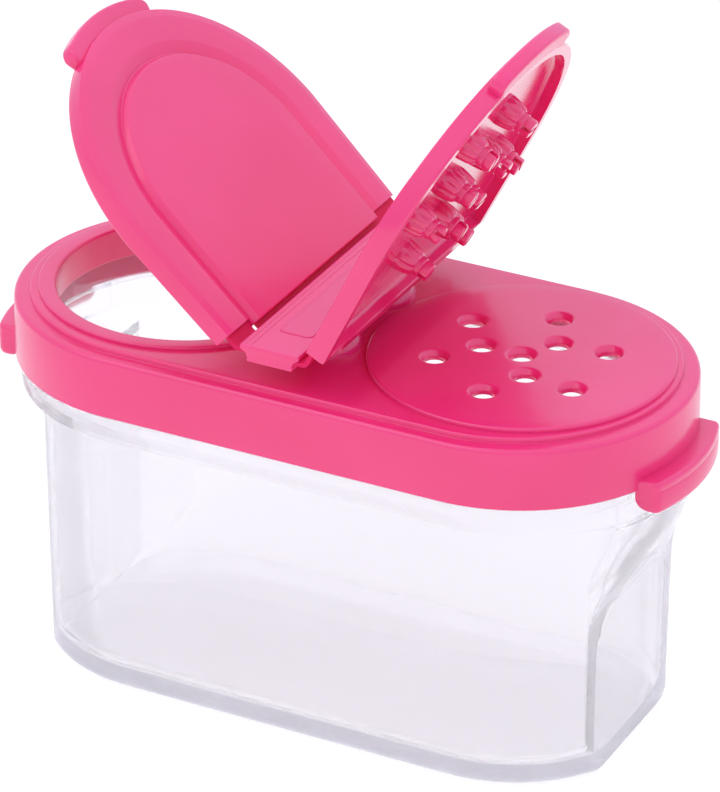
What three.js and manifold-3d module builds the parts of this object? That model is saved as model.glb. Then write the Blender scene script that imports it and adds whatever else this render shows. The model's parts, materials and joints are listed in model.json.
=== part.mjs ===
// Two-way spice dispenser: clear oval tub, press-on oval cap with a pour opening at -X and a
// sifter disc at +X, and a butterfly lid whose two flaps hinge on a strip across the middle.
// Millimetres, +Z up. The origin is on the table under the middle of the cap.
import * as THREE from 'three';
import { mergeVertices } from 'three/addons/utils/BufferGeometryUtils.js';
import Module from 'manifold-3d';

const wasm = await Module();
wasm.setup();

// ---- driving dimensions ----
const CAP_SPAN = 24.39;            // half the distance between the flange's and neck's arc centres
const SKIRT_SPAN = 24.65;          // the skirt's ends stand a little further out
const DECK_SPAN = 24.1;            // and the raised deck's a little further in
const CAP_R = 24.11;               // end radius of the cap's skirt
const SKIRT_BOTTOM = 43.98;
const LEDGE_Z = 52.73;             // flat ledge round the cap's top
const DECK_R = 22.36;              // end radius of the raised deck inside the ledge
const DECK_Z = 53.55;
const CAP_WALL = 1.55;

const PORT_X = 24.85;              // pour opening centre, towards -X
const PORT_R = 18.2;
const PORT_RING_R = 20.6;
const PORT_RING_Z = 54.05;
const COLLAR_R = 19.2;
const COLLAR_BOTTOM = 49.2;

const SIFTER_X = 25.15;            // sifter disc centre, towards +X
const SIFTER_R = 20.58;
const SIFTER_Z = 54.25;
const SIFTER_THICK = 1.3;
const HOLE_MOUTH_R = 2.1;
const HOLE_BORE_R = 1.45;
const HOLE_RING_IN = 5.86;         // three holes on this radius
const HOLE_RING_OUT = 11.53;       // six holes on this radius

const TUB_X = 0.1;
const TUB_SPAN = 24.6;
const TUB_BASE_R = 21.1;
const TUB_TOP_R = 21.6;
const TUB_WALL = 1.5;
const FLANGE_Z = 39.3;             // where the flange below the cap leaves the wall
const FLANGE_EDGE_Z = 40.5;        // its lower outer edge
const FLANGE_TOP = 43.6;
const FLANGE_R = 23.8;
const FINGER_HALF_W = 11.8;        // the flange is thinner here at both ends, under the pull tabs
const FINGER_R = 23.2;
const NECK_R = 22.1;
const NECK_WALL = 1.3;
const NECK_TOP = 50.9;
const PANEL_X = 42.2;              // flat arched panel in the +X end
const PANEL_HALF_W = 12.2;
const PANEL_TOP = 24.4;
const PANEL_CORNER = 6.5;
const PANEL_LEAN = 2.2;            // above the panel the scoop rises this much per mm outwards
const FLARE = 1.9;                 // the +X end swells out by this much between these two heights
const FLARE_LOW = 25.5;
const FLARE_HIGH = 34.0;
const FLAT_X = -40.6;              // the -X end is cut flat from the base to the flange
const FLAT_TOP = 38.6;

const HINGE_X = 4.8;               // both hinge axes run along Y at this distance from the middle
const HINGE_Z = 59.5;
const LID_TOP = 59.75;
const LID_HALF_W = 23.7;           // hinge strip and the flaps' hinge ends
const LID_END_R = 24.1;            // the flaps' round ends
const LID_ARC = 18.9;              // hinge axis to the flap's arc centre
const FLAP_PLATE = 1.2;
const FLAP_RIM = 3.0;              // rim depth below the flap's top face
const FLAP_RIM_WALL = 1.5;
const FLAP_EDGE = 0.45;            // flap's hinge edge, measured from the hinge axis
const FRAME_EDGE = 1.5;            // outside the panel the edge steps back to here
const FRAME_IN = 17.9;             // half the panel's width at the hinge
const POUR_OPEN = 43.6;            // degrees above closed
const SHAKER_OPEN = 63.2;
const GUTTER_IN = 16.1;            // D-shaped groove in each flap's top face
const GUTTER_OUT = 17.5;
const GUTTER_DEPTH = 0.8;

const PIN_R = 1.8;
const PIN_TIP_Z = 53.9;            // pin tips when the shaker flap is closed

const TAB_HALF_W = 9.9;
const GRIP_OUT = 26.8;             // pull tab's outer face, radius about the skirt's arc centre
const GRIP_BOTTOM = 41.0;
const GRIP_TOP = 45.6;

const POST_Y = 8.0;
const GAP = 0.1;
const ARC = 22;                    // segments in each half-round

// ---- outlines and closed bodies ----
const stadium = (span, r, cx = 0, seg = ARC) => {
  const pts = [];
  for (let i = 0; i <= seg; i += 1) {
    const a = -Math.PI / 2 + (Math.PI * i) / seg;
    pts.push([cx + span + r * Math.cos(a), r * Math.sin(a)]);
  }
  for (let i = 0; i <= seg; i += 1) {
    const a = Math.PI / 2 + (Math.PI * i) / seg;
    pts.push([cx - span + r * Math.cos(a), r * Math.sin(a)]);
  }
  return pts;
};

// Skins a stack of equal-length rings, lowest first, and closes both ends.
const loft = (rings) => {
  const n = rings[0].pts.length;
  const pos = [];
  rings.forEach(({ pts, z }) => pts.forEach(([x, y]) => pos.push(x, y, z)));
  const idx = [];
  for (let k = 0; k < rings.length - 1; k += 1) {
    for (let i = 0; i < n; i += 1) {
      const a = k * n + i;
      const b = k * n + ((i + 1) % n);
      idx.push(a, b, b + n, a, b + n, a + n);
    }
  }
  const top = (rings.length - 1) * n;
  for (let i = 1; i < n - 1; i += 1) {
    idx.push(0, i + 1, i);
    idx.push(top, top + i, top + i + 1);
  }
  const g = new THREE.BufferGeometry();
  g.setAttribute('position', new THREE.Float32BufferAttribute(pos, 3));
  g.setIndex(idx);
  return g;
};

const prism = (shape, z0, z1, curve = 12) => {
  const g = new THREE.ExtrudeGeometry(shape, { depth: z1 - z0, bevelEnabled: false, curveSegments: curve });
  g.translate(0, 0, z0);
  return g;
};

const turned = (profile, x, y, seg = 24) => {
  const pts = profile.map(([r, z]) => new THREE.Vector2(r, z));
  const g = new THREE.LatheGeometry(pts, seg);
  g.rotateX(Math.PI / 2);
  g.translate(x, y, 0);
  return g;
};

const block = (x0, x1, y0, y1, z0, z1) => {
  const g = new THREE.BoxGeometry(x1 - x0, y1 - y0, z1 - z0);
  g.translate((x0 + x1) / 2, (y0 + y1) / 2, (z0 + z1) / 2);
  return g;
};

// ---- booleans ----
const solid = (geometry) => {
  const g = geometry.clone();
  g.deleteAttribute('normal');
  g.deleteAttribute('uv');
  const m = mergeVertices(g, 1e-5);
  const mesh = new wasm.Mesh({
    numProp: 3,
    vertProperties: new Float32Array(m.attributes.position.array),
    triVerts: new Uint32Array(m.index.array),
  });
  mesh.merge();
  return new wasm.Manifold(mesh);
};

const unite = (...parts) => parts.map(solid).reduce((a, b) => a.add(b));

const cut = (body, ...tools) => tools.reduce((a, t) => a.subtract(solid(t)), body);

const geometryOf = (body) => {
  const m = body.getMesh();
  const g = new THREE.BufferGeometry();
  const pos = [];
  for (let i = 0; i < m.vertProperties.length; i += m.numProp) {
    pos.push(m.vertProperties[i], m.vertProperties[i + 1], m.vertProperties[i + 2]);
  }
  g.setAttribute('position', new THREE.Float32BufferAttribute(pos, 3));
  g.setIndex(Array.from(m.triVerts));
  const flat = g.toNonIndexed();
  flat.computeVertexNormals();
  return flat;
};

const part = new THREE.Group();
part.name = 'spice_dispenser';

const PINK = 0xe0245e;
const place = (name, geometry, colour = PINK, alpha = 1) => {
  const material = new THREE.MeshStandardMaterial({ color: colour, roughness: 0.35 });
  material.transparent = alpha < 1;
  material.opacity = alpha;
  const mesh = new THREE.Mesh(geometry, material);
  mesh.name = name;
  part.add(mesh);
};

// ---- tub: clear oval body, outward shoulder, neck, arched flat at +X, plain flat at -X ----
const tubBand = (inset, levels, seg) => levels.map(([r, z, span, cx]) => (
  { pts: stadium(span ?? TUB_SPAN, r - inset, cx ?? TUB_X, seg), z }
));

// Outline of the panel's arch in Y and Z; every one has the same number of points.
const archOutline = (w, top, corner) => {
  const pts = [[-w, -5], [w, -5]];
  for (let i = 0; i <= 7; i += 1) {
    const a = (Math.PI / 2) * (i / 7);
    pts.push([w - corner + corner * Math.cos(a), top - corner + corner * Math.sin(a)]);
  }
  for (let i = 0; i <= 7; i += 1) {
    const a = (Math.PI / 2) * (1 + i / 7);
    pts.push([-w + corner + corner * Math.cos(a), top - corner + corner * Math.sin(a)]);
  }
  return pts;
};

const panelPocket = (grow) => {
  const run = 9;
  const near = archOutline(PANEL_HALF_W + grow, PANEL_TOP + grow, PANEL_CORNER + grow);
  const high = PANEL_TOP + grow + run * PANEL_LEAN;
  const far = archOutline(PANEL_HALF_W + grow + 4, high, PANEL_CORNER + grow + 6);
  const g = loft([{ pts: near, z: PANEL_X - grow }, { pts: far, z: PANEL_X - grow + run }]);
  // local X to world Y, local Y to world Z, stacking direction to world X
  g.applyMatrix4(new THREE.Matrix4().set(0, 0, 1, 0, 1, 0, 0, 0, 0, 1, 0, 0, 0, 0, 0, 1));
  return g;
};

// A row of the body swollen towards +X by out.
const swollen = (r, z, out) => [r, z, TUB_SPAN + out / 2, TUB_X + out / 2];

const tubOuter = loft(tubBand(0, [
  [TUB_BASE_R - 1.3, 0],
  [TUB_BASE_R - 0.4, 0.4],
  [TUB_BASE_R, 1.4],
  [TUB_TOP_R - 0.15, FLARE_LOW],
  swollen(TUB_TOP_R - 0.05, FLARE_HIGH, FLARE),
  swollen(TUB_TOP_R, FLANGE_Z - 0.3, FLARE),
  swollen(TUB_TOP_R + 0.4, FLANGE_Z, FLARE - 0.4),
  [FLANGE_R - 0.5, FLANGE_EDGE_Z - 0.5, CAP_SPAN, 0],
  [FLANGE_R, FLANGE_EDGE_Z, CAP_SPAN, 0],
  [FLANGE_R, FLANGE_TOP, CAP_SPAN, 0],
  [NECK_R, FLANGE_TOP, CAP_SPAN, 0],
  [NECK_R, NECK_TOP - 0.4, CAP_SPAN, 0],
  [NECK_R - 0.4, NECK_TOP, CAP_SPAN, 0],
], ARC));
const tubHollow = loft(tubBand(0, [
  [TUB_BASE_R - TUB_WALL - 1.0, TUB_WALL],
  [TUB_BASE_R - TUB_WALL, TUB_WALL + 1.0],
  [TUB_TOP_R - 0.15 - TUB_WALL, FLARE_LOW],
  swollen(TUB_TOP_R - 0.05 - TUB_WALL, FLARE_HIGH, FLARE),
  swollen(TUB_TOP_R - TUB_WALL, FLANGE_Z - 0.8, FLARE),
  [NECK_R - NECK_WALL, FLANGE_Z + 1.2, CAP_SPAN, 0],
  [NECK_R - NECK_WALL, NECK_TOP + 2, CAP_SPAN, 0],
], ARC));
// finger room under a pull tab: thins the flange at one end
const fingerRoom = (side) => {
  const shape = new THREE.Shape();
  const a = Math.asin(FINGER_HALF_W / 30);
  shape.absarc(0, 0, 30, -a, a, false);
  shape.absarc(0, 0, FINGER_R, a * 1.3, -a * 1.3, true);
  shape.closePath();
  const g = prism(shape, FLANGE_Z - 0.6, FLANGE_TOP + 0.5, 14);
  g.translate(CAP_SPAN, 0, 0);
  if (side < 0) {
    g.rotateZ(Math.PI);
  }
  return g;
};
const flatEnd = (inset) => block(-60, FLAT_X + inset, -30, 30, -5, FLAT_TOP + inset);
const tubSolid = cut(solid(tubOuter), panelPocket(0), flatEnd(0), fingerRoom(1), fingerRoom(-1));
const hollowSolid = cut(solid(tubHollow), panelPocket(TUB_WALL), flatEnd(TUB_WALL));
place('tub', geometryOf(tubSolid.subtract(hollowSolid)), 0xf2f0fa, 0.35);

// ---- cap shell: skirt, ledge and raised deck ----
const capOuter = loft([
  [CAP_R + 0.1, SKIRT_BOTTOM],
  [CAP_R, LEDGE_Z - 0.7],
  [CAP_R - 0.25, LEDGE_Z - 0.2],
  [CAP_R - 0.75, LEDGE_Z],
  [DECK_R, LEDGE_Z, DECK_SPAN],
  [DECK_R, DECK_Z - 0.2, DECK_SPAN],
  [DECK_R - 0.2, DECK_Z, DECK_SPAN],
].map(([r, z, span]) => ({ pts: stadium(span ?? SKIRT_SPAN, r), z })));
const capHollow = loft([
  [CAP_R - CAP_WALL, SKIRT_BOTTOM - 1],
  [CAP_R - CAP_WALL, LEDGE_Z - CAP_WALL],
].map(([r, z]) => ({ pts: stadium(SKIRT_SPAN, r), z })));
const bore = (x, r, z0, z1, seg = 40) => turned([[0, z0], [r, z0], [r, z1], [0, z1]], x, 0, seg);
const capShell = cut(
  solid(capOuter),
  capHollow,
  bore(-PORT_X, COLLAR_R + 0.3, LEDGE_Z - 5, DECK_Z + 2),
  bore(SIFTER_X, SIFTER_R - 1.0, LEDGE_Z - 5, DECK_Z + 2),
);
place('cap_shell', geometryOf(capShell));

// ---- pour ring: raised rim round the opening and the collar hanging below it ----
const ringProfile = [
  [PORT_R, COLLAR_BOTTOM],
  [COLLAR_R, COLLAR_BOTTOM],
  [COLLAR_R, DECK_Z + GAP],
  [PORT_RING_R, DECK_Z + GAP],
  [PORT_RING_R, PORT_RING_Z - 0.15],
  [PORT_RING_R - 0.2, PORT_RING_Z],
  [PORT_R + 0.3, PORT_RING_Z],
  [PORT_R, PORT_RING_Z - 0.3],
  [PORT_R, COLLAR_BOTTOM],
];
place('pour_ring', turned(ringProfile, -PORT_X, 0, 40));

// ---- sifter disc with ten countersunk holes ----
const holeSpots = [[0, 0]];
[60, 180, 300].forEach((d) => {
  const a = THREE.MathUtils.degToRad(d);
  holeSpots.push([HOLE_RING_IN * Math.cos(a), HOLE_RING_IN * Math.sin(a)]);
});
[30, 90, 150, 210, 270, 330].forEach((d) => {
  const a = THREE.MathUtils.degToRad(d);
  holeSpots.push([HOLE_RING_OUT * Math.cos(a), HOLE_RING_OUT * Math.sin(a)]);
});
const discBody = turned([
  [0, SIFTER_Z - SIFTER_THICK],
  [SIFTER_R - 1.3, SIFTER_Z - SIFTER_THICK],
  [SIFTER_R - 1.3, DECK_Z + GAP],
  [SIFTER_R, DECK_Z + GAP],
  [SIFTER_R, SIFTER_Z - 0.2],
  [SIFTER_R - 0.25, SIFTER_Z],
  [0, SIFTER_Z],
], SIFTER_X, 0, 44);
const holeTools = holeSpots.map(([x, y]) => turned([
  [0, SIFTER_Z - 3],
  [HOLE_BORE_R, SIFTER_Z - 3],
  [HOLE_BORE_R, SIFTER_Z - 0.8],
  [HOLE_MOUTH_R - 0.25, SIFTER_Z - 0.4],
  [HOLE_MOUTH_R, SIFTER_Z + 0.02],
  [HOLE_MOUTH_R, SIFTER_Z + 1],
  [0, SIFTER_Z + 1],
], SIFTER_X + x, y, 16));
place('sifter_disc', geometryOf(cut(solid(discBody), ...holeTools)));

// ---- pull tabs: a thick lip on the skirt at each end of the cap, ends cut square across ----
const sector = (cx, rIn, rOut, halfAngle) => {
  const s = new THREE.Shape();
  s.absarc(cx, 0, rOut, -halfAngle, halfAngle, false);
  s.absarc(cx, 0, rIn, halfAngle, -halfAngle, true);
  s.closePath();
  return s;
};
const lip = (rIn, rOut) => {
  const s = new THREE.Shape();
  const a = Math.asin(TAB_HALF_W / rOut);
  const b = Math.asin(TAB_HALF_W / rIn);
  s.absarc(SKIRT_SPAN, 0, rOut, -a, a, false);
  s.absarc(SKIRT_SPAN, 0, rIn, b, -b, true);
  s.closePath();
  return s;
};
const gripBody = unite(
  prism(lip(CAP_R + 0.2, GRIP_OUT), GRIP_BOTTOM + 1.2, GRIP_TOP - 0.3, 12),
  prism(lip(CAP_R + 0.2, GRIP_OUT - 0.4), GRIP_TOP - 0.4, GRIP_TOP, 12),
  prism(lip(CAP_R + 0.9, GRIP_OUT - 0.3), GRIP_BOTTOM, GRIP_BOTTOM + 1.3, 12),
);
place('pull_tab_right', geometryOf(gripBody));
const gripLeft = geometryOf(gripBody);
gripLeft.rotateZ(Math.PI);
place('pull_tab_left', gripLeft);

// ---- two domed posts on the deck that carry the hinge strip ----
const postProfile = [
  [0, DECK_Z + GAP],
  [5.0, DECK_Z + GAP],
  [4.8, DECK_Z + 0.5],
  [4.1, DECK_Z + 0.8],
  [3.9, DECK_Z + 2.2],
  [3.2, DECK_Z + 3.3],
  [2.4, DECK_Z + 3.6],
  [2.4, LID_TOP - 1.4],
  [0, LID_TOP - 1.3],
];
place('lid_post_front', turned(postProfile, 0, -POST_Y, 20));
place('lid_post_back', turned(postProfile, 0, POST_Y, 20));

// ---- hinge strip with a socket for each post ----
const stripHalf = HINGE_X - 0.45;
const stripShape = new THREE.Shape();
stripShape.moveTo(-stripHalf + 0.5, LID_TOP - 2.35);
stripShape.lineTo(stripHalf - 0.5, LID_TOP - 2.35);
stripShape.lineTo(stripHalf - 0.3, LID_TOP - 1.2);
stripShape.lineTo(stripHalf, LID_TOP - 0.5);
stripShape.lineTo(stripHalf - 0.15, LID_TOP);
stripShape.lineTo(-stripHalf + 0.15, LID_TOP);
stripShape.lineTo(-stripHalf, LID_TOP - 0.5);
stripShape.lineTo(-stripHalf + 0.3, LID_TOP - 1.2);
stripShape.closePath();
const stripBody = prism(stripShape, -LID_HALF_W, LID_HALF_W);
stripBody.applyMatrix4(new THREE.Matrix4().set(1, 0, 0, 0, 0, 0, -1, 0, 0, 1, 0, 0, 0, 0, 0, 1));
const socket = (y) => turned(
  [[0, LID_TOP - 4], [2.7, LID_TOP - 4], [2.7, LID_TOP - 1.1], [0, LID_TOP - 1.1]], 0, y, 20);
place('hinge_strip', geometryOf(cut(solid(stripBody), socket(-POST_Y), socket(POST_Y))));

// ---- living hinges: a slim web on each hinge axis ----
const web = (x) => {
  const g = new THREE.CylinderGeometry(0.3, 0.3, 2 * LID_HALF_W, 10);
  g.translate(x, 0, HINGE_Z);
  return g;
};

// ---- flaps, built closed over +X, then swung open about the hinge axis ----
const flapOutline = (inset) => {
  const w = LID_HALF_W - inset;
  const r = LID_END_R - inset;
  const s = new THREE.Shape();
  s.moveTo(HINGE_X + FLAP_EDGE + inset, -w);
  s.lineTo(HINGE_X + LID_ARC, -r);
  s.absarc(HINGE_X + LID_ARC, 0, r, -Math.PI / 2, Math.PI / 2, false);
  s.lineTo(HINGE_X + FLAP_EDGE + inset, w);
  s.closePath();
  return s;
};
const dShape = (r, start) => {
  const s = new THREE.Shape();
  s.moveTo(start, -r);
  s.lineTo(HINGE_X + LID_ARC, -r);
  s.absarc(HINGE_X + LID_ARC, 0, r, -Math.PI / 2, Math.PI / 2, false);
  s.lineTo(start, r);
  s.closePath();
  return s;
};
const flapBody = (gutter) => {
  const edge = HINGE_X + FRAME_EDGE;
  const shell = cut(
    solid(prism(flapOutline(0), LID_TOP - FLAP_RIM, LID_TOP, ARC)),
    prism(flapOutline(FLAP_RIM_WALL), LID_TOP - FLAP_RIM - 1, LID_TOP - FLAP_PLATE, ARC),
    block(0, edge, FRAME_IN, 30, LID_TOP - 5, LID_TOP + 1),
    block(0, edge, -30, -FRAME_IN, LID_TOP - 5, LID_TOP + 1),
  );
  if (!gutter) {
    return shell;
  }
  const start = HINGE_X + FLAP_EDGE + FLAP_RIM_WALL - 0.2;
  const trough = cut(
    solid(prism(dShape(GUTTER_OUT + 0.8, start), LID_TOP - FLAP_PLATE - 0.9, LID_TOP - FLAP_PLATE + 0.2, 16)),
    prism(dShape(GUTTER_IN - 0.8, HINGE_X - 3), LID_TOP - FLAP_PLATE - 2, LID_TOP - FLAP_PLATE, 16),
  );
  const groove = cut(
    solid(prism(dShape(GUTTER_OUT, HINGE_X + 0.9), LID_TOP - GUTTER_DEPTH, LID_TOP + 1, 16)),
    prism(dShape(GUTTER_IN, HINGE_X - 2), LID_TOP - GUTTER_DEPTH - 1, LID_TOP + 2, 16),
  );
  return shell.add(trough).subtract(groove);
};

// Swings closed geometry open: side +1 is the shaker flap, side -1 the pour flap.
const swing = (geometry, side, degrees) => {
  const g = geometry.clone();
  if (side < 0) {
    g.rotateZ(Math.PI);
  }
  g.translate(-side * HINGE_X, 0, -HINGE_Z);
  g.rotateY(-side * THREE.MathUtils.degToRad(degrees));
  g.translate(side * HINGE_X, 0, HINGE_Z);
  return g;
};

const thumbTab = prism(
  sector(HINGE_X + LID_ARC, LID_END_R + GAP, LID_END_R + 2.75, Math.asin(10.4 / (LID_END_R + 2.75))),
  LID_TOP - FLAP_RIM, LID_TOP - 0.8, 12);
const sealRing = cut(
  solid(turned([
    [16.3, 53.5],
    [17.1, 53.5],
    [17.4, 53.8],
    [17.4, LID_TOP - FLAP_PLATE - 0.9 - GAP],
    [16.3, LID_TOP - FLAP_PLATE - 0.9 - GAP],
    [16.3, 53.5],
  ], PORT_X, 0, 36)),
  block(0, HINGE_X + 7.2, -20, 20, 50, 60),
);

place('hinge_web_pour', web(-HINGE_X));
place('pour_flap', swing(geometryOf(flapBody(true)), -1, POUR_OPEN));
place('pour_thumb_tab', swing(thumbTab, -1, POUR_OPEN));
place('pour_seal_ring', swing(geometryOf(sealRing), -1, POUR_OPEN));

place('hinge_web_shaker', web(HINGE_X));
place('shaker_flap', swing(geometryOf(flapBody(false)), 1, SHAKER_OPEN));
place('shaker_thumb_tab', swing(thumbTab, 1, SHAKER_OPEN));

// ---- ten plug pins under the shaker flap, one over each sifter hole ----
holeSpots.forEach(([x, y], i) => {
  const pin = turned([
    [0, PIN_TIP_Z],
    [PIN_R - 0.3, PIN_TIP_Z],
    [PIN_R, PIN_TIP_Z + 0.3],
    [PIN_R, LID_TOP - FLAP_PLATE - GAP],
    [0, LID_TOP - FLAP_PLATE - GAP],
  ], SIFTER_X + x, y, 14);
  const name = `plug_pin_${String(i + 1).padStart(2, '0')}`;
  place(name, swing(pin, 1, SHAKER_OPEN));
});

export default part;
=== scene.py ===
"""Looks of the two-way spice dispenser: clear oval tub, pink press-on cap, butterfly lid.

Shapes are worked out in millimetres in the part's own frame and scaled to metres at the end.
"""
import json
import math

import bmesh
import bpy
import numpy as np
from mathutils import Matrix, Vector
from mathutils.geometry import tessellate_polygon


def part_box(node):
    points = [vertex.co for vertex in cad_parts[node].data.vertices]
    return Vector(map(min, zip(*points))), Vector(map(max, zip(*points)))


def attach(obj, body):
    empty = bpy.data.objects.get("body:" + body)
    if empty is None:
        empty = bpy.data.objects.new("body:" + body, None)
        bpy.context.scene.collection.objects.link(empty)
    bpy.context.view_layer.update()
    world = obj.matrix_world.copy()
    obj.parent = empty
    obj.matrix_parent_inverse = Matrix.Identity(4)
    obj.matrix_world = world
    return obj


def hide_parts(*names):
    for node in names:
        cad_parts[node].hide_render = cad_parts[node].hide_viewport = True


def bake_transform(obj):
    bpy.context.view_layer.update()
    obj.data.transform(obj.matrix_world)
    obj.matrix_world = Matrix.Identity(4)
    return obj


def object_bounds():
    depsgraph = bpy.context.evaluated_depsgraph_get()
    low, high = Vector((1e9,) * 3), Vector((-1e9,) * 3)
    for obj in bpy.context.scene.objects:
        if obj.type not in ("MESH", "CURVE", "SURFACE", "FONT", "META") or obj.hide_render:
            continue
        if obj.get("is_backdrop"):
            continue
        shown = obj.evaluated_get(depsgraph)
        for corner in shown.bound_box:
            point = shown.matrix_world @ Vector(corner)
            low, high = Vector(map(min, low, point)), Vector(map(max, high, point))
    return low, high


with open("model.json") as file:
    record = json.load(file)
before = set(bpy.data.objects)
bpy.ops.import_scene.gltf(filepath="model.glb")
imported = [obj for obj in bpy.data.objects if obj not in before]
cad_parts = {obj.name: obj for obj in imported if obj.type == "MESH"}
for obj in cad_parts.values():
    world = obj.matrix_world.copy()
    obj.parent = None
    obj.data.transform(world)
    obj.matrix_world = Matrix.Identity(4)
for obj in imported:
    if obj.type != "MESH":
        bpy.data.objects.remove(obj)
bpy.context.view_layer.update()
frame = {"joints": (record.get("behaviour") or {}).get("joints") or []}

MM = 0.001
QUARTER_STEPS = 6               # facets in a quarter-turn fillet
ROUND_STEPS = 96                # facets in a half-turn of a large outline
HOLE_STEPS = 40                 # facets round a sifter hole or a pin
FILLET_SHARE = 0.49             # a fillet takes at most this share of its shorter side
NEARLY_STRAIGHT = 0.02          # radians: a corner that turns less than this gets no fillet
WELD = 2e-6                     # metres: points closer than this become one
SHARP_DEG = 38.0                # edges that turn more than this are drawn sharp
TUB_SHARP_DEG = 24.0


# ---- places read from the frame, in millimetres ----
def box_mm(node):
    low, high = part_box(node)
    return np.array(low) / MM, np.array(high) / MM


def joint(name):
    return next(j for j in frame["joints"] if j["name"] == name)


cap_low, cap_high = box_mm("cap_shell")
SKIRT_R_LOW = cap_high[1]
SKIRT_R = SKIRT_R_LOW - 0.1     # the skirt narrows a little towards the ledge
SKIRT_SPAN = cap_high[0] - SKIRT_R_LOW
DECK_SPAN = SKIRT_SPAN - 0.55
CAP_SPAN = SKIRT_SPAN - 0.26    # the tub's flange and neck
SKIRT_BOTTOM = cap_low[2]
DECK_Z = cap_high[2]
LEDGE_Z = DECK_Z - 0.82
DECK_R = SKIRT_R - 1.75
CAP_WALL = 1.55
SEAT = 0.02                     # the ring's rim and the disc start this far below the deck's face

port_low, port_high = box_mm("pour_ring")
PORT_X = (port_low[0] + port_high[0]) / 2
PORT_OUT = (port_high[1] - port_low[1]) / 2
PORT_TOP = port_high[2]
PORT_BOTTOM = port_low[2]
PORT_R = PORT_OUT - 2.4
COLLAR_R = PORT_R + 1.0

disc_low, disc_high = box_mm("sifter_disc")
DISC_X = (disc_low[0] + disc_high[0]) / 2
DISC_R = (disc_high[1] - disc_low[1]) / 2
DISC_Z = disc_high[2]
DISC_THICK = disc_high[2] - disc_low[2]
HOLE_MOUTH = 2.1
HOLE_BORE = 1.45
HOLE_RINGS = ((5.86, 3, 60), (11.53, 6, 30))    # radius, number of holes, first hole's degrees

tub_high = box_mm("tub")[1]
TUB_WALL = 1.5
TUB_FLOOR = 1.7
NECK_TOP = tub_high[2]
FLANGE_R = tub_high[1]
NECK_R = FLANGE_R - 1.7
NECK_WALL = 1.3
TUB_X = 0.1
TUB_SPAN = 24.6
TUB_BASE_R = 21.1
TUB_TOP_R = 21.6
FLANGE_Z = 39.3
FLANGE_TOP = 43.6
FINGER_HALF_W = 11.8
FINGER_R = 23.2
FINGER_REACH = 32               # how far the cutters for finger room reach past the ends
PANEL_X = 42.2
PANEL_HALF_W = 11.7
PANEL_TOP = 24.4
PANEL_CORNER = 6.5
PANEL_LEAN = 2.2                # rise of the scoop above the panel per mm outwards
PANEL_SPARE = 0.12              # left outside the panel's plane for its cutter to take off
SCOOP_SOFT = 2.4                # widest softening where the scoop runs into the wall
FLARE = 1.9                     # the +X end swells out between these heights
FLARE_LOW = 25.5
FLARE_HIGH = 34.0
FLAT_X = -40.6                  # the -X end is flat from the base to the flange
FLAT_TOP = 38.1
FLAT_LEAN = 4.0                 # above that it runs back out this much per mm of height
FLAT_SOFT = 2.6
WALL_ROWS = 42

HINGE_X = joint("shaker_hinge")["pos_m"][0] / MM
HINGE_Z = joint("shaker_hinge")["pos_m"][2] / MM
strip_low, strip_high = box_mm("hinge_strip")
LID_TOP = strip_high[2]
LID_HALF_W = strip_high[1]
LID_END_R = 24.45
END_FADE = 6.0                  # the round end's extra width fades out this far in
TOP_H = LID_TOP - HINGE_Z       # flap's top face above the hinge axis, when closed
LID_ARC = 18.9                  # hinge axis to the centre of the flap's round end
FLAP_EDGE = 0.45
FRAME_EDGE = 1.5                # the frame outside the panel steps back to here
FRAME_IN = 17.9
PLATE = 1.2
RIM_DEPTH = 3.0
RIM_WALL = 1.5
GROOVE_DEPTH = 0.55             # groove round the pour flap's panel
PANEL_RISE = 0.35               # the pour flap's panel stands above its frame
LINE_DEPTH = 0.22               # shallow line round the shaker flap's panel
PLATE_INSET = 9.6               # rows of a flap's top end here; a flat face covers the rest
PLATE_CROWN = 0.01              # keeps the corners of a flap's hinge end out of one line
HINGE_EASE = 0.3                # rounding of a flap's edge along the hinge
TROUGH_IN = 15.3                # ridge under the groove, as half widths
TROUGH_OUT = 18.3
TROUGH_DEPTH = 0.9
TAB_OVERHANG = 2.4
TAB_HALF_W = 10.4

POST_R = 4.98
POST_NECK_R = 2.4
POST_DOME = 3.9                 # height that a whole dome would have
POST_TOP = LID_TOP - 1.4
PAD_LOW_X = -1.45               # raised pad on the lid strip
PAD_HIGH_X = 3.35
PAD_HALF_Y = 18.2
PAD_RISE = 0.14
PAD_CORNER = 0.7
PAD_EDGE = 0.9
STRIP_LINES = (0.7, 1.5)        # fine lines on the strip, from its -X edge
STRIP_LINE_HALF = 0.09
STRIP_LINE_DEPTH = 0.08

SEAL_IN = 16.3                  # seal ring under the pour flap
SEAL_OUT = 17.4
SEAL_LOW_Z = 53.5
SEAL_START = 7.4                # the ring is left open nearer the hinge than this

PIN_R = 1.42
PIN_TIP_Z = 53.9                # pin tips when the shaker flap is closed
PIN_LENGTH = LID_TOP - PLATE - PIN_TIP_Z
PIN_NUB = 1.25                  # length of the split tip
PIN_NUB_R = 1.3
PIN_SLOT_HALF = 0.28
NUB_POINTS = 17
CROWN_RIBS = 9                  # flutes round a pin's foot
PIN_FIRST_TURN = 0.4            # radians, so that the split tips point in different ways
PIN_NEXT_TURN = 0.9

WEB_GAP_Y = 17.45               # small ejector slot near one end of each hinge
WEB_GAP = 0.62
WEB_START = -1.5                # the web's two edges, from the hinge axis
WEB_REACH = 1.85
WEB_DEEP = -0.8                 # the web's valley, below the hinge axis
WEB_HALF_THICK = 0.27


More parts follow.
